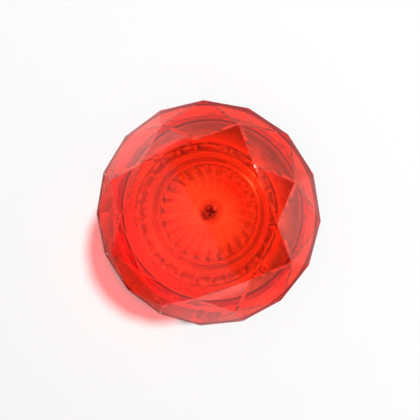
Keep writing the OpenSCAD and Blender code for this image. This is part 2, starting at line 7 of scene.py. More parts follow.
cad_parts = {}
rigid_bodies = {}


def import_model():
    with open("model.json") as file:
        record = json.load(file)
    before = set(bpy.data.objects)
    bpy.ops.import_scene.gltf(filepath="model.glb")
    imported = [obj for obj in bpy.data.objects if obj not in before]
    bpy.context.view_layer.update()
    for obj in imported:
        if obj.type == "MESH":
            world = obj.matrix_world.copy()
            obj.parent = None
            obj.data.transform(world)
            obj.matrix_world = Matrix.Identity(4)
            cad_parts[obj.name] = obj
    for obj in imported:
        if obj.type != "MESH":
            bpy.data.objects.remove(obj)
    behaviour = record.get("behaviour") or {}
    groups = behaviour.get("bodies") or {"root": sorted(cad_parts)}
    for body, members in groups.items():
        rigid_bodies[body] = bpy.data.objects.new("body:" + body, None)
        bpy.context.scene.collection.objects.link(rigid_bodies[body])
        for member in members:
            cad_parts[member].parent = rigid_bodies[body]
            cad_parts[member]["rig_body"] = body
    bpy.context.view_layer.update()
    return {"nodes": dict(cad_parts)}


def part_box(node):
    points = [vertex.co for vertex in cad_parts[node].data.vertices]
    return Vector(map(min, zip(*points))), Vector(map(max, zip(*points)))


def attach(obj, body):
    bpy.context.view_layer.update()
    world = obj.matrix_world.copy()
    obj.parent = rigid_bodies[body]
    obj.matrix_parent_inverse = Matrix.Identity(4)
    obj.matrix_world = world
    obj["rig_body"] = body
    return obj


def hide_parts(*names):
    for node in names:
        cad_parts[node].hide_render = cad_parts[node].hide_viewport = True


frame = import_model()

# Base housing
# The black pan that everything is screwed into, injection moulded in ABS with the posts, the boss and
# the bayonet hooks in one piece. Its faces have the fine matt grain of an eroded mould.
MM = 0.001
hard_corner = math.radians(28)
flat_corner = math.radians(0.5)
merge_gap = 0.001 * MM
cloud_size = 12 * MM
cloud_share = 0.7
cloud_gloss = 0.25
grain_gloss = 0.2


class Value:
    """A number or colour in a node graph, whose sums and products become Math nodes."""

    def __init__(self, graph, socket):
        self.graph = graph
        self.socket = socket

    def math(self, operation, first, second=0):
        return self.graph.node("ShaderNodeMath", {"operation": operation}, {0: first, 1: second})

    def __add__(self, other):
        return self.math("ADD", self, other)

    def __mul__(self, other):
        return self.math("MULTIPLY", self, other)

    def __sub__(self, other):
        return self.math("SUBTRACT", self, other)

    def __rsub__(self, other):
        return self.math("SUBTRACT", other, self)

    __radd__ = __add__

    def swing(self, amount):
        """A noise's swing about its mean of one half."""
        return (self - 0.5) * amount


class Graph:
    """The nodes of a material or of the world."""

    def __init__(self, tree):
        self.nodes = tree.nodes
        self.links = tree.links

    def feed(self, node, inputs):
        """Links or sets the named inputs of a node."""
        for name, given in inputs.items():
            socket = node.inputs[name]
            if isinstance(given, Value):
                self.links.new(given.socket, socket)
            elif socket.type == "RGBA":
                socket.default_value = (*given, 1)
            else:
                socket.default_value = given

    def node(self, kind, settings=None, inputs=None, output=0):
        """Makes a node and gives back one of its outputs."""
        node = self.nodes.new(kind)
        for name, setting in (settings or {}).items():
            setattr(node, name, setting)
        self.feed(node, inputs or {})
        return Value(self, node.outputs[output])


class Finish(Graph):
    """A material built round one Principled shader."""

    def __init__(self, name, colour, roughness, more=None):
        self.material = bpy.data.materials.new(name)
        self.material.use_nodes = True
        super().__init__(self.material.node_tree)
        self.shader = self.nodes["Principled BSDF"]
        self.output = self.nodes["Material Output"]
        self.feed(self.shader, {"Base Color": colour, "Roughness": roughness, **(more or {})})

    def place(self, stretch=(1, 1, 1)):
        spot = self.node("ShaderNodeTexCoord", output="Object")
        return self.node("ShaderNodeMapping", inputs={"Vector": spot, "Scale": stretch})

    def noise(self, size, detail, stretch=(1, 1, 1)):
        inputs = {"Vector": self.place(stretch), "Scale": 1 / size, "Detail": detail}
        return self.node("ShaderNodeTexNoise", inputs=inputs)

    def ramp(self, value, low, high):
        """Black up to a low value, white from a high one."""
        ramped = self.node("ShaderNodeValToRGB", inputs={"Fac": value})
        black, white = ramped.socket.node.color_ramp.elements
        black.position = low
        white.position = high
        return ramped

    def rise(self, value, low, high):
        """0 up to a low value, 1 from a high one."""
        return self.node("ShaderNodeMapRange", inputs={"Value": value, "From Min": low, "From Max": high})

    def radius(self):
        """How far a point lies from the object's upright axis."""
        flat = self.place((1, 1, 0))
        return self.node("ShaderNodeVectorMath", {"operation": "LENGTH"}, {0: flat}, "Value")

    def waves(self, count):
        """Swings from 1 to -1 and back so many times on the way round the axis."""
        along = self.node("ShaderNodeSeparateXYZ", inputs={"Vector": self.place()}, output="Y")
        across = Value(self, along.socket.node.outputs["X"])
        turn = along.math("ARCTAN2", along, across)
        return turn.math("COSINE", turn * count)

    def mix(self, share, first, second):
        """Blends two colours. The Mix node's colour sockets are given by their places."""
        return self.node("ShaderNodeMix", {"data_type": "RGBA"}, {0: share, 6: first, 7: second}, 2)

    def bump(self, height, depth, strength=1):
        inputs = {"Height": height, "Distance": depth, "Strength": strength}
        self.feed(self.shader, {"Normal": self.node("ShaderNodeBump", inputs=inputs)})


def moulded(name, colour, worn, roughness, grain, depth):
    """Moulded plastic or rubber: a matt grain, slightly uneven gloss and paler rubbed spots."""
    finish = Finish(name, colour, roughness)
    cloud = finish.noise(cloud_size, detail=4)
    fine = finish.noise(grain, detail=3)
    rubbed = finish.ramp(cloud * cloud_share + fine * (1 - cloud_share), low=0.45, high=0.8)
    finish.feed(finish.shader, {
        "Base Color": finish.mix(rubbed, colour, worn),
        "Roughness": roughness + cloud.swing(cloud_gloss) + fine.swing(grain_gloss),
    })
    finish.bump(fine, depth)
    return finish.material


def dress(node, material):
    """Gives a CAD node its finish."""
    mesh = frame["nodes"][node].data
    mesh.materials.clear()
    mesh.materials.append(material)


def make_object(shape, name, materials):
    """Turns a bmesh into an object of the scene."""
    mesh = bpy.data.meshes.new(name)
    shape.to_mesh(mesh)
    shape.free()
    for material in materials:
        mesh.materials.append(material)
    made = bpy.data.objects.new(name, mesh)
    bpy.context.scene.collection.objects.link(made)
    return made


def finish_piece(shape, name, body, materials, stands_for):
    """Turns a bmesh into a piece that rides on a body and stands for its CAD nodes."""
    piece = make_object(shape, name, materials)
    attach(piece, body)
    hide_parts(*stands_for)
    return piece


def soft_edged(node, name, material, edge):
    """A copy of a CAD node whose corners have the small radius that a mould or a tool leaves."""
    shape = bmesh.new()
    shape.from_mesh(frame["nodes"][node].data)
    bmesh.ops.remove_doubles(shape, verts=shape.verts, dist=merge_gap)
    bmesh.ops.dissolve_limit(shape, angle_limit=flat_corner, verts=shape.verts, edges=shape.edges,
                             delimit=set())
    for face in shape.faces:
        face.smooth = True
    body = frame["nodes"][node]["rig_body"]
    piece = finish_piece(shape, name, body, [material], [node])
    rounding = piece.modifiers.new("soft edges", "BEVEL")
    rounding.width = edge
    rounding.segments = 2
    rounding.limit_method = "ANGLE"
    rounding.angle_limit = hard_corner
    rounding.harden_normals = True
    rounding.use_clamp_overlap = True


black_abs = moulded("black_abs", colour=(0.011, 0.011, 0.012), worn=(0.03, 0.03, 0.031),
                    roughness=0.44, grain=0.5 * MM, depth=0.03 * MM)
soft_edged("base_housing", "housing", black_abs, edge=0.3 * MM)

# Cable gland
# A nylon gland with a rubber washer and seal, pushed through the flat pad at the front and drawn tight
# from inside by its lock nut. The cap nut squeezes the seal onto the cable.
black_nylon = moulded("black_nylon", colour=(0.014, 0.014, 0.015), worn=(0.035, 0.035, 0.036),
                      roughness=0.34, grain=0.35 * MM, depth=0.012 * MM)
seal_rubber = moulded("seal_rubber", colour=(0.02, 0.02, 0.021), worn=(0.05, 0.048, 0.046),
                      roughness=0.66, grain=0.3 * MM, depth=0.02 * MM)
soft_edged("gland_body", "gland_stem", black_nylon, edge=0.25 * MM)
soft_edged("gland_cap", "gland_cap_nut", black_nylon, edge=0.3 * MM)
soft_edged("gland_locknut", "gland_lock_nut", black_nylon, edge=0.25 * MM)
soft_edged("gland_washer", "gland_face_washer", seal_rubber, edge=0.2 * MM)
soft_edged("gland_seal", "gland_squeeze_ring", seal_rubber, edge=0.2 * MM)

# Magnet and its screws
# A ring of hard ferrite glued into a pressed and zinc plated steel cup. Three screws with rubber seals
# under their heads hold the cup to the base from inside.
tarnish_size = 6 * MM
tarnish_share = 0.72
tarnish_gloss = 0.2
tool_mark_w = 0.25 * MM
tool_mark_depth = 0.006 * MM
tool_mark_gloss = 0.25


def plated(name, colour, roughness, brush):
    """Machined or pressed metal with fine tool marks along one direction and a dull cloudiness."""
    finish = Finish(name, colour, roughness, {"Metallic": 1.0})
    cloud = finish.noise(tarnish_size, detail=3)
    marks = finish.noise(tool_mark_w, detail=2, stretch=brush)
    dull = tuple(tarnish_share * part for part in colour)
    finish.feed(finish.shader, {
        "Base Color": finish.mix(finish.ramp(cloud, low=0.4, high=0.75), colour, dull),
        "Roughness": roughness + cloud.swing(tarnish_gloss) + marks.swing(tool_mark_gloss),
    })
    finish.bump(marks, tool_mark_depth)
    return finish.material


zinc = plated("zinc_plate", colour=(0.62, 0.64, 0.66), roughness=0.32, brush=(1, 1, 0.08))
ferrite = moulded("hard_ferrite", colour=(0.035, 0.034, 0.036), worn=(0.075, 0.072, 0.072),
                  roughness=0.5, grain=0.4 * MM, depth=0.03 * MM)
dress("magnet_cup", zinc)
dress("ring_magnet", ferrite)
soft_edged("magnet_screws", "cup_screws", zinc, edge=0.12 * MM)
dress("magnet_screw_seals", seal_rubber)

# Rubber boot
# The sleeve that covers the magnet so that it doesn't scratch a car's roof. It is moulded in soft black
# rubber, pulled over the cup, and its sole has three ring grooves.
boot_rubber = moulded("boot_rubber", colour=(0.017, 0.017, 0.018), worn=(0.055, 0.053, 0.05),
                      roughness=0.72, grain=0.45 * MM, depth=0.035 * MM)
soft_edged("rubber_boot", "boot", boot_rubber, edge=0.25 * MM)

# Driver board
# A green glass-fibre board that makes the diodes' current. Its parts are soldered on: the choke, two
# capacitors, two drivers, the rectifier diodes, small resistors, the header and the cable's terminals.
track_pitch = 7 * MM
track_t = 0.03 * MM
track_roughness = 0.3
mask_roughness = 0.45


def circuit_board(name, mask, track, pad):
    """A printed board: solder mask over raised copper tracks, with small plated holes."""
    finish = Finish(name, mask, mask_roughness, {"Coat Weight": 0.4})
    cells = {"Vector": finish.place((1, 1, 0.1)), "Scale": 1 / track_pitch}
    edge = finish.node("ShaderNodeTexVoronoi", {"feature": "DISTANCE_TO_EDGE"}, cells)
    lines = finish.ramp(edge, low=0.05, high=0.09)
    holes = finish.node("ShaderNodeTexVoronoi", inputs=cells)
    rings = finish.ramp(holes, low=0.07, high=0.1)
    copper = finish.mix(lines, track, mask)
    finish.feed(finish.shader, {
        "Base Color": finish.mix(rings, pad, copper),
        "Roughness": track_roughness + lines * (mask_roughness - track_roughness),
    })
    finish.bump(1 - lines, track_t)
    return finish.material


green_mask = circuit_board("green_mask", mask=(0.01, 0.11, 0.045), track=(0.02, 0.2, 0.08),
                           pad=(0.6, 0.55, 0.4))
choke_ferrite = moulded("choke_ferrite", colour=(0.05, 0.048, 0.047), worn=(0.1, 0.095, 0.09),
                        roughness=0.6, grain=0.3 * MM, depth=0.02 * MM)
aluminium_can = plated("aluminium_can", colour=(0.78, 0.8, 0.82), roughness=0.26, brush=(1, 1, 0.05))
epoxy_black = moulded("epoxy_black", colour=(0.016, 0.016, 0.018), worn=(0.04, 0.04, 0.042),
                      roughness=0.4, grain=0.2 * MM, depth=0.006 * MM)
green_nylon = moulded("green_nylon", colour=(0.02, 0.24, 0.09), worn=(0.04, 0.3, 0.13),
                      roughness=0.4, grain=0.4 * MM, depth=0.01 * MM)
dress("driver_board", green_mask)
soft_edged("inductor", "choke", choke_ferrite, edge=0.2 * MM)
soft_edged("capacitors", "capacitor_cans", aluminium_can, edge=0.3 * MM)
for node in ("driver_chips", "rectifier_diodes", "driver_resistors", "link_header", "led_resistors"):
    dress(node, epoxy_black)
soft_edged("terminal_block", "cable_terminals", green_nylon, edge=0.2 * MM)
dress("terminal_screws", zinc)

# Brass spacers and insert
# Three turned hexagon spacers carry the light board over the driver board, and a knurled brass insert in
# the boss takes the lens screw.
brass = plated("turned_brass", colour=(0.72, 0.5, 0.2), roughness=0.28, brush=(1, 1, 6))
soft_edged("board_spacers", "hexagon_spacers", brass, edge=0.15 * MM)
dress("lens_insert", brass)

# Light board and its diodes
# A white aluminium-cored board with a ring of square diodes. Each has a white ceramic body and a round
# pool of yellow phosphor under clear resin.
white_mask = circuit_board("white_mask", mask=(0.86, 0.86, 0.84), track=(0.8, 0.8, 0.77),
                           pad=(0.75, 0.68, 0.5))
dress("led_board", white_mask)
white_lacquer = moulded("white_lacquer", colour=(0.85, 0.85, 0.84), worn=(0.74, 0.74, 0.73),
                        roughness=0.35, grain=0.3 * MM, depth=0.006 * MM)
soft_edged("led_board_screws", "light_board_screws", white_lacquer, edge=0.12 * MM)

diode_count = 24
diode_w = 5 * MM
diode_h = 1.6 * MM
diode_ring_r = 31 * MM
diode_edge = 0.2 * MM
pool_r = 1.9 * MM
pool_t = 0.2 * MM
pool_sink = 0.3 * pool_t
pool_steps = 24
ceramic = moulded("white_ceramic", colour=(0.88, 0.87, 0.84), worn=(0.8, 0.79, 0.76),
                  roughness=0.4, grain=0.15 * MM, depth=0.004 * MM)
phosphor = moulded("yellow_phosphor", colour=(0.86, 0.7, 0.12), worn=(0.9, 0.78, 0.25),
                   roughness=0.22, grain=0.2 * MM, depth=0.004 * MM)
led_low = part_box("leds_ring")[0]
diodes = bmesh.new()
for number in range(diode_count):
    turned = Matrix.Rotation(number * 2 * math.pi / diode_count, 4, "Z")
    spot = turned @ Matrix.Translation((diode_ring_r, 0, led_low.z + diode_h / 2))
    block = spot @ Matrix.Diagonal((diode_w, diode_w, diode_h, 1))
    cube = bmesh.ops.create_cube(diodes, size=1, matrix=block)
    edges = {edge for vert in cube["verts"] for edge in vert.link_edges}
    bmesh.ops.bevel(diodes, geom=list(edges), offset=diode_edge, segments=1, profile=0.5,
                    affect="EDGES", material=-1)
    on_top = spot @ Matrix.Translation((0, 0, diode_h / 2 - pool_sink))
    pool = bmesh.ops.create_cone(diodes, cap_ends=True, segments=pool_steps, radius1=pool_r,
                                 radius2=pool_r - pool_t / 2, depth=pool_t, matrix=on_top)
    for face in {face for vert in pool["verts"] for face in vert.link_faces}:
        face.material_index = 1
finish_piece(diodes, "diodes", "base", [ceramic, phosphor], ["leds_ring"])

# Ring lens
# The clear inner bowl, moulded in acrylic. Fine raised lines run out over its floor, and thick ribs on its
# wall and on its outer band spread the light of the diodes under it. Rounded beads run between these zones.
lens_low, lens_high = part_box("ring_lens")
lens_h = lens_high.z - lens_low.z
lens_foot_r = lens_high.x
hub_r = 11 * MM
hub_h = 4.6 * MM
hub_recess_r = 4.8 * MM
hub_floor_t = 1.5 * MM
screw_hole_r = 2.3 * MM
bowl_floor_r = 24 * MM
bowl_floor_h = 5 * MM
hub_foot_h = 3.4 * MM
inner_rim_r = 30 * MM
inner_rim_h = 17.5 * MM
inner_bead_w = 2.6 * MM
band_r = 34.4 * MM
band_h = 27.6 * MM
band_bead_w = 1.7 * MM
band_valley_w = 2.1 * MM
band_valley_h = 1.4 * MM
bowl_top_r = 38.6 * MM
lens_top_r = 39.4 * MM
lens_wall = 2 * MM
lens_bend_r = 1 * MM
lens_rim_r = 0.35 * MM
lens_corner_r = 0.3 * MM
lens_root_r = 0.2 * MM
lens_ridge_r = 0.4 * MM
lens_steps = 600
rib_count = 24
seat_gap = 0.04 * MM
fillet_steps = 5
spin_sectors = 12
on_surface = 0.01 * MM
rib_end_power = 6
rib_stations = (0.05, 0.12, 0.25, 0.5, 0.75, 0.88, 0.95)
bead_section = ((1.0, 0.12, 0.12), (0.65, 0.88, 0.47), (-0.06, 0.76, 0.35), (0, 0, 0))


def rounded(outline):
    """Points of a section given as corners (r, z, fillet radius), with each corner rounded."""
    points = []
    for i, (r, z, fillet) in enumerate(outline):
        here = Vector((r, z))
        if not fillet:
            points.append(here)
            continue
        before = (Vector(outline[i - 1][:2]) - here).normalized()
        after = (Vector(outline[(i + 1) % len(outline)][:2]) - here).normalized()
        half = before.angle(after) / 2
        middle = here + (before + after).normalized() * fillet / math.sin(half)
        first = here + before * fillet / math.tan(half) - middle
        last = here + after * fillet / math.tan(half) - middle
        for step in range(fillet_steps + 1):
            points.append(middle + first.slerp(last, step / fillet_steps).normalized() * fillet)
    return points


def spun(points, steps, closed=False):
    """A body of revolution about Z: one sector is spun from its section, and is then repeated."""
    shape = bmesh.new()
    axis = {"cent": (0, 0, 0), "axis": (0, 0, 1), "dvec": (0, 0, 0), "use_merge": False}
    sector_turn = 2 * math.pi / spin_sectors
    verts = [shape.verts.new((point[0], 0, point[1])) for point in points]
    pairs = list(zip(verts, verts[1:]))
    if closed:
        pairs.append((verts[-1], verts[0]))
    edges = [shape.edges.new(pair) for pair in pairs]
    bmesh.ops.spin(shape, geom=verts + edges, angle=sector_turn, steps=steps // spin_sectors,
                   use_duplicate=False, **axis)
    bmesh.ops.spin(shape, geom=shape.faces[:], angle=2 * math.pi - sector_turn, steps=spin_sectors - 1,
                   use_duplicate=True, **axis)
    bmesh.ops.remove_doubles(shape, verts=shape.verts, dist=merge_gap)
    bmesh.ops.recalc_face_normals(shape, faces=shape.faces)
    for face in shape.faces:
        face.smooth = True
    return shape


def stations(high, low):
    """Section points on the way down a ribbed cone, where its ribs swell and fade."""
    way = Vector(low) - Vector(high)
    return [(*(Vector(high) + way * share), 0) for share in rib_stations]


def bead(r, h, wide):
    """Section points of a rounded bead that runs round the bowl between two zones."""
    return [(r + out * wide, h + up * wide, fillet * wide) for out, up, fillet in bead_section]


def raise_ribs(shape, low, high, share, rise, lean=0):
    """Swells rounded ribs out of the cone between two section points (r, z).

    A rib takes a share of its pitch, and is higher at its foot if it leans.
    """
    along = Vector(high) - Vector(low)
    outward = Vector((-along.y, along.x)).normalized()
    for vert in shape.verts:
        radius = math.hypot(vert.co.x, vert.co.y)
        spot = Vector((radius, vert.co.z - lens_low.z)) - Vector(low)
        reach = 2 * spot.dot(along) / along.length_squared - 1
        turn = math.atan2(vert.co.y, vert.co.x) / (2 * math.pi) * rib_count % 1
        across = (2 * turn - 1) / share
        if abs(spot.dot(outward)) < on_surface and abs(reach) < 1 and abs(across) < 1:
            profile = math.cos(across * math.pi / 2) ** 2
            profile *= math.sqrt(1 - reach ** rib_end_power) * (1 - lean * reach)
            swell = outward * rise * profile
            vert.co.xy *= (radius + swell.x) / radius
            vert.co.z += swell.y


wall_tilt = math.atan2(inner_rim_h - bowl_floor_h, inner_rim_r - bowl_floor_r)
cone_tilt = math.atan2(band_h - inner_rim_h, band_r - inner_rim_r)
cone_out = Vector((math.sin(cone_tilt), -math.cos(cone_tilt))) * lens_wall
drum_in_r = lens_foot_r - lens_wall
under_band_z = band_h + cone_out.y
drum_top_r = drum_in_r - (lens_foot_r - lens_top_r) * under_band_z / lens_h
floor_bend_r = bowl_floor_r + lens_wall * math.tan(wall_tilt / 2)
hub_foot = (hub_r, hub_foot_h)
wall_foot = (bowl_floor_r, bowl_floor_h)
wall_head = (inner_rim_r, inner_rim_h)
band_rib_foot = (band_r + band_valley_w, band_h + band_valley_h)
band_head = (bowl_top_r, lens_h)
lens_outline = [
    (screw_hole_r, seat_gap, 0),
    (hub_r, seat_gap, 0),
    (hub_r, hub_foot_h - lens_wall, 0),
    (floor_bend_r, bowl_floor_h - lens_wall, lens_bend_r),
    (inner_rim_r + cone_out.x, inner_rim_h + cone_out.y, lens_bend_r),
    (band_r + cone_out.x, under_band_z, lens_corner_r),
    (drum_top_r, under_band_z, lens_corner_r),
    (drum_in_r, seat_gap, lens_root_r),
    (lens_foot_r, seat_gap, lens_root_r),
    (lens_top_r, lens_h, lens_rim_r),
    (*band_head, lens_rim_r),
    *stations(band_head, band_rib_foot),
    (*band_rib_foot, 0),
    *bead(band_r, band_h, band_bead_w),
    *bead(inner_rim_r, inner_rim_h, inner_bead_w),
    *stations(wall_head, wall_foot),
    (*wall_foot, lens_ridge_r),
    *stations(wall_foot, hub_foot),
    (*hub_foot, lens_root_r),
    (hub_r, hub_h, lens_ridge_r),
    (hub_recess_r, hub_h, lens_corner_r),
    (hub_recess_r, hub_floor_t, lens_root_r),
    (screw_hole_r, hub_floor_t, 0),
]
section = [point + Vector((0, lens_low.z)) for point in rounded(lens_outline)]
bowl = spun(section, lens_steps, closed=True)
raise_ribs(bowl, hub_foot, wall_foot, share=0.22, rise=0.3 * MM)
raise_ribs(bowl, wall_foot, wall_head, share=0.6, rise=1.6 * MM)
raise_ribs(bowl, band_rib_foot, band_head, share=0.6, rise=1.7 * MM, lean=0.6)

ripple_size = 9 * MM
ripple_depth = 0.02 * MM
ripple_strength = 0.6


def see_through(name, tint, density, ior, bent_away, haze):
    """Clear or dyed plastic that bends light, darkens with its thickness and lets most lamplight pass."""
    polish = {"Transmission Weight": 1.0, "IOR": ior, "Coat Weight": 1.0, "Coat Roughness": haze}
    finish = Finish(name, colour=(1, 1, 1), roughness=0.0, more=polish)
    finish.bump(finish.noise(ripple_size, detail=1), ripple_depth, ripple_strength)
    dye = finish.node("ShaderNodeVolumeAbsorption", inputs={"Color": tint, "Density": density})
    finish.links.new(dye.socket, finish.output.inputs["Volume"])
    steep = finish.node("ShaderNodeLayerWeight", inputs={"Blend": 0.5}, output="Facing")
    passing = 1 - steep * steep * steep * bent_away
    lamp_ray = finish.node("ShaderNodeLightPath", output="Is Shadow Ray") * passing
    open_way = finish.node("ShaderNodeBsdfTransparent", inputs={"Color": (1, 1, 1)})
    solid = Value(finish, finish.shader.outputs[0])
    seen = finish.node("ShaderNodeMixShader", inputs={0: lamp_ray, 1: solid, 2: open_way})
    finish.links.new(seen.socket, finish.output.inputs["Surface"])
    return finish


def sharpen(shape):
    """Keeps hard corners and the edges of flat faces crisp in a smooth-shaded shape."""
    for edge in shape.edges:
        flat = any(not face.smooth for face in edge.link_faces)
        edge.smooth = not flat and edge.calc_face_angle(0) < hard_corner


clear_acrylic = see_through("clear_acrylic", tint=(0.9, 0.9, 0.88), density=30, ior=1.49,
                            bent_away=0.3, haze=0.15)
lens_radius = clear_acrylic.radius()
zone_blend = 0.4 * MM
hub_blend = 4 * MM
rim_blend = 0.2 * MM
# Tint and strengths of the painted shade on the lens.
painted_shade_tint = (0.3, 0.26, 0.26)
wall_gap_painted_shade = 0.6
floor_painted_shade = 0.3
hub_painted_shade = 0.6
band_flank_painted_shade = 0.5
top_rim_painted_shade = 0.55
wall_crest_share = 0.5
crest_metallic = 0.9
crest_roughness = 0.28
bead_roughness = 0.2


def zone(low, high):
    """1 between two radii and 0 elsewhere."""
    begun = clear_acrylic.rise(lens_radius, low, low + zone_blend)
    return begun - clear_acrylic.rise(lens_radius, high - zone_blend, high)


rib_wave = clear_acrylic.waves(rib_count)
wall_zone = zone(bowl_floor_r, inner_rim_r)
band_zone = zone(band_r + band_bead_w, bowl_top_r)
beads = zone(inner_rim_r, inner_rim_r + inner_bead_w) + zone(band_r, band_r + band_bead_w)
# Painted shade: the colour is darkened between the wall ribs, over the floor except on its raised lines (so
# the
# lines stand out as painted highlights), on the hub, on the flanks of the band's ribs and on the top rim.
wall_gap_painted_shade_mask = wall_zone * clear_acrylic.rise(rib_wave, -0.1, 0.5)
floor_painted_shade_mask = zone(hub_r, bowl_floor_r) * clear_acrylic.rise(rib_wave, -0.98, -0.8)
hub_painted_shade_mask = 1 - clear_acrylic.rise(lens_radius, hub_r - hub_blend, hub_r)
band_flank_painted_shade_mask = band_zone * (1 - clear_acrylic.rise(rib_wave * rib_wave, 0, 0.2))
top_rim_painted_shade_mask = clear_acrylic.rise(lens_radius, bowl_top_r, bowl_top_r + rim_blend)
crests = (wall_zone * wall_crest_share + band_zone) * clear_acrylic.rise(rib_wave * -1, 0.5, 0.9)
painted_shade = wall_gap_painted_shade_mask * wall_gap_painted_shade + floor_painted_shade_mask * floor_painted_shade + hub_painted_shade_mask * hub_painted_shade
painted_shade = painted_shade + band_flank_painted_shade_mask * band_flank_painted_shade + top_rim_painted_shade_mask * top_rim_painted_shade
clear_acrylic.feed(clear_acrylic.shader, {
    "Base Color": clear_acrylic.mix(painted_shade, (1, 1, 1), painted_shade_tint),
    "Metallic": crests * crest_metallic + beads,
    "Roughness": crests * crest_roughness + beads * bead_roughness,
})
sharpen(bowl)
finish_piece(bowl, "bowl_lens", "base", [clear_acrylic.material], ["ring_lens"])

# Lens screw
# A zinc plated pan-head screw whose cross recess is painted near black as shade. It goes down through the
# washer, the hub and both boards into the insert, and holds the lens and the light board.
screw_low, screw_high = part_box("lens_screw")
head_r = screw_high.x
head_h = 2.1 * MM
head_round_r = 0.7 * MM
head_flat_r = 0.85 * head_r
shank_r = 2 * MM
shank_tip_r = 0.4 * MM
screw_steps = 48
cross_turn = math.radians(-12)
cross_half_w = 0.9 * MM
cross_half_l = 3.1 * MM
cross_depth = 1.7 * MM
cross_taper = 0.8
head_z = screw_high.z - head_h
screw_outline = [
    (0, screw_low.z, 0),
    (shank_r, screw_low.z, shank_tip_r),
    (shank_r, head_z, 0),
    (head_r, head_z, 0),
    (head_r, screw_high.z, head_round_r),
    (head_flat_r, screw_high.z, 0),
]
screw = spun(rounded(screw_outline), screw_steps)
arm = [(cross_half_l, -cross_half_w), (cross_half_l, cross_half_w), (cross_half_w, cross_half_w)]
corners = []
for quarter in range(4):
    turned = Matrix.Rotation(cross_turn + quarter * math.pi / 2, 2)
    corners += [screw.verts.new((*(turned @ Vector(spot)), screw_high.z)) for spot in arm]
mouth = [screw.edges.new(pair) for pair in zip(corners, corners[1:] + corners[:1])]
rim = [edge for edge in screw.edges if edge.is_boundary]
bmesh.ops.triangle_fill(screw, use_beauty=True, use_dissolve=False, edges=rim + mouth, normal=(0, 0, 1))
whole_head = set(screw.faces)
walls = bmesh.ops.extrude_edge_only(screw, edges=mouth)
foot = [part for part in walls["geom"] if isinstance(part, bmesh.types.BMVert)]
for vert in foot:
    vert.co.xy *= cross_taper
    vert.co.z -= cross_depth
rim = [edge for edge in screw.edges if edge.is_boundary]
bmesh.ops.triangle_fill(screw, use_beauty=True, use_dissolve=False, edges=rim, normal=(0, 0, 1))
for face in set(screw.faces) - whole_head:
    face.material_index = 1
bmesh.ops.recalc_face_normals(screw, faces=screw.faces)
if screw.calc_volume(signed=True) < 0:
    bmesh.ops.reverse_faces(screw, faces=screw.faces)
sharpen(screw)
# Painted shade: the walls and floor of the cross recess get this near black finish.
recess_painted_shade = moulded("recess_painted_shade", colour=(0.012, 0.01, 0.01), worn=(0.03, 0.027, 0.025),
                      roughness=0.5, grain=0.3 * MM, depth=0.008 * MM)
finish_piece(screw, "hub_screw", "base", [zinc, recess_painted_shade], ["lens_screw"])
dress("lens_washer", zinc)

# Deck plate
# A pale grey moulded ring that hides the wiring round the lens and throws light back. Four small lacquered
# screws hold it to the posts. Its rim and its landing under the dome's spigot are painted near black as
# shade.
pale_grey = (0.57, 0.55, 0.54)
rubbed_grey = (0.51, 0.5, 0.49)
# Painted shade: the deck turns near black beyond this radius, on its rim and under the dome's spigot.
landing_painted_shade_grey = (0.05, 0.04, 0.04)
landing_r = 54.4 * MM
landing_blend = 0.1 * MM
deck_roughness = 0.45
deck_grain = 0.5 * MM
deck_grain_depth = 0.01 * MM
scuff_gloss = 0.2
pale_styrene = Finish("pale_styrene", pale_grey, deck_roughness)
scuffs = pale_styrene.noise(cloud_size, detail=4)
landing_painted_shade = pale_styrene.rise(pale_styrene.radius(), landing_r, landing_r + landing_blend)
paint = pale_styrene.mix(pale_styrene.ramp(scuffs, low=0.5, high=0.8), pale_grey, rubbed_grey)
pale_styrene.feed(pale_styrene.shader, {
    "Base Color": pale_styrene.mix(landing_painted_shade, paint, landing_painted_shade_grey),
    "Roughness": deck_roughness + scuffs.swing(scuff_gloss),
})
pale_styrene.bump(pale_styrene.noise(deck_grain, detail=3), deck_grain_depth)
soft_edged("deck_plate", "deck", pale_styrene.material, edge=0.3 * MM)
grey_lacquer = moulded("grey_lacquer", colour=pale_grey, worn=rubbed_grey,
                       roughness=deck_roughness, grain=0.3 * MM, depth=0.005 * MM)
soft_edged("deck_screws", "deck_plate_screws", grey_lacquer, edge=0.12 * MM)

# Dome seal
# A flat ring of soft milky silicone in the rim of the base, which the dome's flange presses on when it is
# turned home.
milky_silicone = moulded("milky_silicone", colour=(0.8, 0.78, 0.76), worn=(0.7, 0.68, 0.66),
                         roughness=0.5, grain=0.3 * MM, depth=0.01 * MM)
soft_edged("dome_seal", "flange_seal", milky_silicone, edge=0.35 * MM)

# Dome
# The thick outer dome, moulded in a red polycarbonate, with a faint red glow painted on as emission
# that is strongest at the rim. Its crown is cut like a round gem, inside and out. Fine upright flutes
# run round the foot of its wall, and its spigot has four lugs for the hooks of the base.
dome_low, dome_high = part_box("dome")
seal_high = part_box("dome_seal")[1]
girdle_sides = 16
girdle_r = 60 * MM
table_r = 36.4 * MM
table_h = 18.5 * MM
star_r = 48 * MM
table_t = 3 * MM
crown_t = 3 * MM
inside_spread = 1.016
side_t = 2.85 * MM
spigot_t = 2.4 * MM
flange_t = 2.5 * MM
flange_round_r = 0.4 * MM
skirt_round_r = 0.3 * MM
flutes = 180
flute_depth = 0.5 * MM
flute_h = 7 * MM
flute_run = 0.4 * MM
lug_h = 2.5 * MM
lug_out = 1.8 * MM
lug_count = 4
lug_azimuth = 45
lug_half_angle = 9
facet_edge = 0.15 * MM
cut_slack = 0.002 * MM
facing_down = -0.5

table_z = dome_high.z
girdle_z = table_z - table_h
flange_z = seal_high.z
wall_z = flange_z + flange_t
side_angle = 2 * math.pi / girdle_sides
girdle_flat_r = girdle_r * math.cos(side_angle / 2)
star_h = table_h * (girdle_r - star_r * math.cos(side_angle)) / (girdle_r - table_r)


def leaning(tilt, azimuth):
    """The direction that leans from straight up towards an azimuth."""
    return Vector((math.sin(tilt) * math.cos(azimuth), math.sin(tilt) * math.sin(azimuth), math.cos(tilt)))


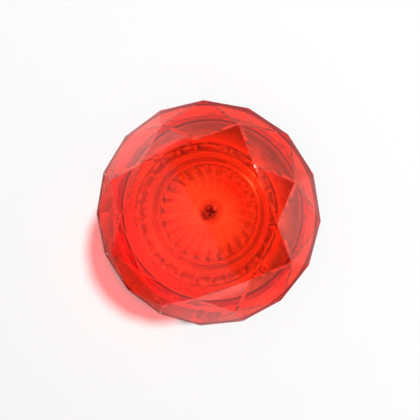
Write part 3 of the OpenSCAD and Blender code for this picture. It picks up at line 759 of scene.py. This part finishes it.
def cut_facet(shape, azimuth, low, high, drop, spread):
    """Grinds a flat facet under two section points (r, height over the girdle) at one azimuth."""
    tilt = math.atan2(high[1] - low[1], low[0] - high[0])
    reach = low[0] * spread
    point = Vector((reach * math.cos(azimuth), reach * math.sin(azimuth), girdle_z + low[1] - drop))
    parts = shape.verts[:] + shape.edges[:] + shape.faces[:]
    cut = bmesh.ops.bisect_plane(shape, geom=parts, dist=cut_slack, plane_co=point,
                                 plane_no=leaning(tilt, azimuth), clear_outer=True)
    edges = [part for part in cut["geom_cut"] if isinstance(part, bmesh.types.BMEdge) and part.is_boundary]
    for face in bmesh.ops.edgeloop_fill(shape, edges=edges)["faces"]:
        face.smooth = False


def cut_crown(shape, drop, spread):
    """Cuts the crown's facets. Inside they are let down, and spread so that they lie under the outer ones."""
    star_side = (star_r * math.cos(side_angle / 2), star_h)
    table_side = (table_r * math.cos(side_angle), table_h)
    for side in range(girdle_sides):
        cut_facet(shape, (side + 0.5) * side_angle, (girdle_flat_r, 0), star_side, drop, spread)
    for side in range(0, girdle_sides, 2):
        cut_facet(shape, side * side_angle, (girdle_r, 0), (table_r, table_h), drop, spread)
        cut_facet(shape, (side + 1) * side_angle, (star_r, star_h), table_side, drop, spread)


gem = bmesh.new()
block_h = table_z - wall_z
bmesh.ops.create_cone(gem, cap_ends=True, segments=girdle_sides, radius1=girdle_r, radius2=girdle_r,
                      depth=block_h, matrix=Matrix.Translation((0, 0, wall_z + block_h / 2)))
cut_crown(gem, 0, 1)
underside = [face for face in gem.faces if face.normal.z < facing_down]
bmesh.ops.delete(gem, geom=underside, context="FACES")
facet_edges = [edge for edge in gem.edges if edge.is_manifold]
rounds = bmesh.ops.bevel(gem, geom=facet_edges, offset=facet_edge, segments=2, profile=0.5,
                         affect="EDGES", material=-1)
for face in rounds["faces"]:
    face.smooth = True

cavity_r = girdle_flat_r - side_t
spigot_r = cavity_r + spigot_t
base_r = dome_high.x
ceiling_z = table_z - table_t
flute_top = wall_z + flute_h
flange_foot_z = flange_z + seat_gap
skirt = [
    (base_r, wall_z, 0),
    (base_r, wall_z - skirt_round_r, 0),
    (base_r, flange_foot_z, flange_round_r),
    (spigot_r, flange_foot_z, skirt_round_r),
    (spigot_r, dome_low.z + lug_h, 0),
    (spigot_r, dome_low.z, 0),
    (cavity_r, dome_low.z, skirt_round_r),
    (cavity_r, wall_z, 0),
    (cavity_r, wall_z + flute_run, 0),
    (cavity_r, flute_top - flute_run, 0),
    (cavity_r, flute_top, 0),
    (cavity_r, ceiling_z, 0),
]
inside = spun(rounded(skirt), 2 * flutes)
ceiling = [edge for edge in inside.edges if edge.is_boundary and edge.verts[0].co.z > girdle_z]
for face in bmesh.ops.edgeloop_fill(inside, edges=ceiling)["faces"]:
    face.smooth = False
cut_crown(inside, crown_t, inside_spread)
for vert in inside.verts:
    step = round(math.degrees(math.atan2(vert.co.y, vert.co.x)) % 360 * flutes / 180)
    in_wall = abs(math.hypot(vert.co.x, vert.co.y) - cavity_r) < on_surface
    if in_wall and wall_z + flute_run / 2 < vert.co.z < flute_top - flute_run / 2 and step % 2:
        vert.co.xy *= (cavity_r + flute_depth) / cavity_r
lug_pitch = 360 / lug_count
lug_faces = []
for face in inside.faces:
    spot = face.calc_center_median()
    off = (math.degrees(math.atan2(spot.y, spot.x)) - lug_azimuth) % lug_pitch
    beside = min(off, lug_pitch - off) < lug_half_angle
    at_foot = dome_low.z < spot.z < dome_low.z + lug_h
    if beside and at_foot and math.hypot(spot.x, spot.y) > cavity_r + spigot_t / 2:
        lug_faces.append(face)
lugs = bmesh.ops.extrude_face_region(inside, geom=lug_faces)
for part in lugs["geom"]:
    if isinstance(part, bmesh.types.BMVert):
        part.co.xy *= (spigot_r + lug_out) / spigot_r
bmesh.ops.delete(inside, geom=lug_faces, context="FACES")
outside = bpy.data.meshes.new("gem")
gem.to_mesh(outside)
gem.free()
inside.from_mesh(outside)
bpy.data.meshes.remove(outside)
bmesh.ops.remove_doubles(inside, verts=inside.verts, dist=merge_gap)
loops = [edge for edge in inside.edges if edge.is_boundary]
bmesh.ops.triangle_fill(inside, use_beauty=True, use_dissolve=False, edges=loops, normal=(0, 0, 1))
bmesh.ops.recalc_face_normals(inside, faces=inside.faces)

# Painted light: a faint red glow given as emission, weak in the middle of the dome and strongest towards its
# rim.
painted_glow_low_r = 46 * MM
painted_glow_high_r = 56 * MM
middle_painted_glow = (0.02, 0.0008, 0.0005)
rim_painted_glow = (0.085, 0.004, 0.0015)
red_polycarbonate = see_through("red_polycarbonate", tint=(0.998, 0.36, 0.05), density=1000, ior=1.585,
                                bent_away=0.1, haze=0.12)
painted_glow_share = red_polycarbonate.rise(red_polycarbonate.radius(), painted_glow_low_r, painted_glow_high_r)
red_polycarbonate.feed(red_polycarbonate.shader, {
    "Emission Color": red_polycarbonate.mix(painted_glow_share, middle_painted_glow, rim_painted_glow),
    "Emission Strength": 1.0,
})
sharpen(inside)
finish_piece(inside, "gem_dome", "dome", [red_polycarbonate.material], ["dome"])

# Floor and light
# A plain white table top under a pale studio. One lamp from the upper right throws the red shadow. Two
# cards show only in gloss and veil the facets: one overhead, and one that stands in a ring round the dome.
floor_half_w = 3
no_gloss = {"Specular IOR Level": 0.0}
floor_finish = Finish("white_table_top", colour=(0.93, 0.93, 0.93), roughness=0.9, more=no_gloss)
floor_shape = bmesh.new()
bmesh.ops.create_grid(floor_shape, x_segments=1, y_segments=1, size=floor_half_w,
                      matrix=Matrix.Translation((0, 0, -seat_gap)))
floor = make_object(floor_shape, "floor", [floor_finish.material])


def card(name, shape):
    """A card that only shows in gloss, glowing at the level that each of its corners has."""
    finish = Finish(name, colour=(0, 0, 0), roughness=1.0, more={**no_gloss, "Emission Strength": 1.0})
    glow = finish.node("ShaderNodeAttribute", {"attribute_name": "level"}, output="Color")
    finish.feed(finish.shader, {"Emission Color": glow})
    made = make_object(shape, name, [finish.material])
    for ray in ("camera", "diffuse", "transmission", "volume_scatter", "shadow"):
        setattr(made, "visible_" + ray, False)


card_half_w = 10
pale_level = 0.25
dark_level = 0.02
seam = Vector((-0.86, -0.6, 5.2))
seam_azimuth = math.radians(31.5)
overhead = bmesh.new()
level_of = overhead.loops.layers.float_color.new("level")
bmesh.ops.create_grid(overhead, x_segments=2, y_segments=1, size=card_half_w,
                      matrix=Matrix.Translation(seam) @ Matrix.Rotation(seam_azimuth, 4, "Z"))
for face in overhead.faces:
    level = pale_level if face.calc_center_median().x < seam.x else dark_level
    for corner in face.loops:
        corner[level_of] = (level, level, level, 1)
card("overhead_card", overhead)

tent_r = 0.15
tent_foot = 0.001
tent_split = 0.05
tent_top = 0.13
tent_sides = 64
tent_foot_share = 0.5
tent_levels = (0.7, 0.34, 0.26, 0.8, 0.15, 0.02, 0.46, 0.17)
tent = bmesh.new()
level_of = tent.verts.layers.float_color.new("level")
for low, high in ((tent_foot, tent_split), (tent_split, tent_top)):
    bmesh.ops.create_cone(tent, cap_ends=False, segments=tent_sides, radius1=tent_r, radius2=tent_r,
                          depth=high - low, matrix=Matrix.Translation((0, 0, (low + high) / 2)))
for vert in tent.verts:
    place = math.degrees(math.atan2(vert.co.y, vert.co.x)) % 360 / 360 * len(tent_levels)
    share = (1 - math.cos(place % 1 * math.pi)) / 2
    here = tent_levels[int(place) % len(tent_levels)]
    level = here + (tent_levels[(int(place) + 1) % len(tent_levels)] - here) * share
    if vert.co.z < tent_split / 2:
        level *= tent_foot_share
    vert[level_of] = (level, level, level, 1)
card("tent", tent)

# The room looks white to the camera and in gloss and glass, and lights matt surfaces at its own level.
room_level = 0.3
world = bpy.data.worlds.new("studio")
world.use_nodes = True
bpy.context.scene.world = world
studio = Graph(world.node_tree)
seen = 0
for kind in ("Is Camera Ray", "Is Glossy Ray", "Is Transmission Ray"):
    ray = studio.node("ShaderNodeLightPath", output=kind)
    seen = ray.math("MAXIMUM", ray, seen)
studio.feed(studio.nodes["Background"], {
    "Color": (1, 1, 1),
    "Strength": seen * (1 - room_level) + room_level,
})

lamp_azimuth = math.radians(38)
lamp_tilt = math.radians(44)
lamp_distance = 6
lamp_size = 0.7
lamp_watts = 375
lamp_data = bpy.data.lights.new("lamp", "AREA")
lamp_data.shape = "DISK"
lamp_data.size = lamp_size
lamp_data.energy = lamp_watts
lamp = bpy.data.objects.new("lamp", lamp_data)
towards_lamp = leaning(lamp_tilt, lamp_azimuth)
lamp_turn = towards_lamp.to_track_quat("Z", "Y").to_matrix().to_4x4()
lamp.matrix_world = Matrix.Translation(towards_lamp * lamp_distance) @ lamp_turn
bpy.context.scene.collection.objects.link(lamp)

# Camera
# It looks down on the gem's table from a little to the right of its middle and from close by, as in the
# photograph.
image_px = 420
focal_px = 251
sensor_mm = 36
near_clip = 0.01
aim = Vector((4.24 * MM, 3.87 * MM, girdle_z))
camera_distance = 132 * MM
camera_tilt = math.radians(9)
camera_azimuth = math.radians(32.3)
camera_roll = 0.0164
back = leaning(camera_tilt, camera_azimuth)
right = Vector((-camera_roll, 1, 0)).cross(back).normalized()
up = back.cross(right)
camera_data = bpy.data.cameras.new("camera")
camera_data.sensor_width = sensor_mm
camera_data.lens = focal_px / image_px * sensor_mm
camera_data.clip_start = near_clip
camera = bpy.data.objects.new("camera", camera_data)
turned = Matrix((right, up, back)).transposed().to_4x4()
camera.matrix_world = Matrix.Translation(aim + back * camera_distance) @ turned
bpy.context.scene.collection.objects.link(camera)
bpy.context.scene.camera = camera

light_bounces = 32
cycles = bpy.context.scene.cycles
cycles.max_bounces = light_bounces
cycles.glossy_bounces = light_bounces
cycles.transmission_bounces = light_bounces
cycles.transparent_max_bounces = light_bounces
bpy.context.scene.view_settings.view_transform = "Standard"
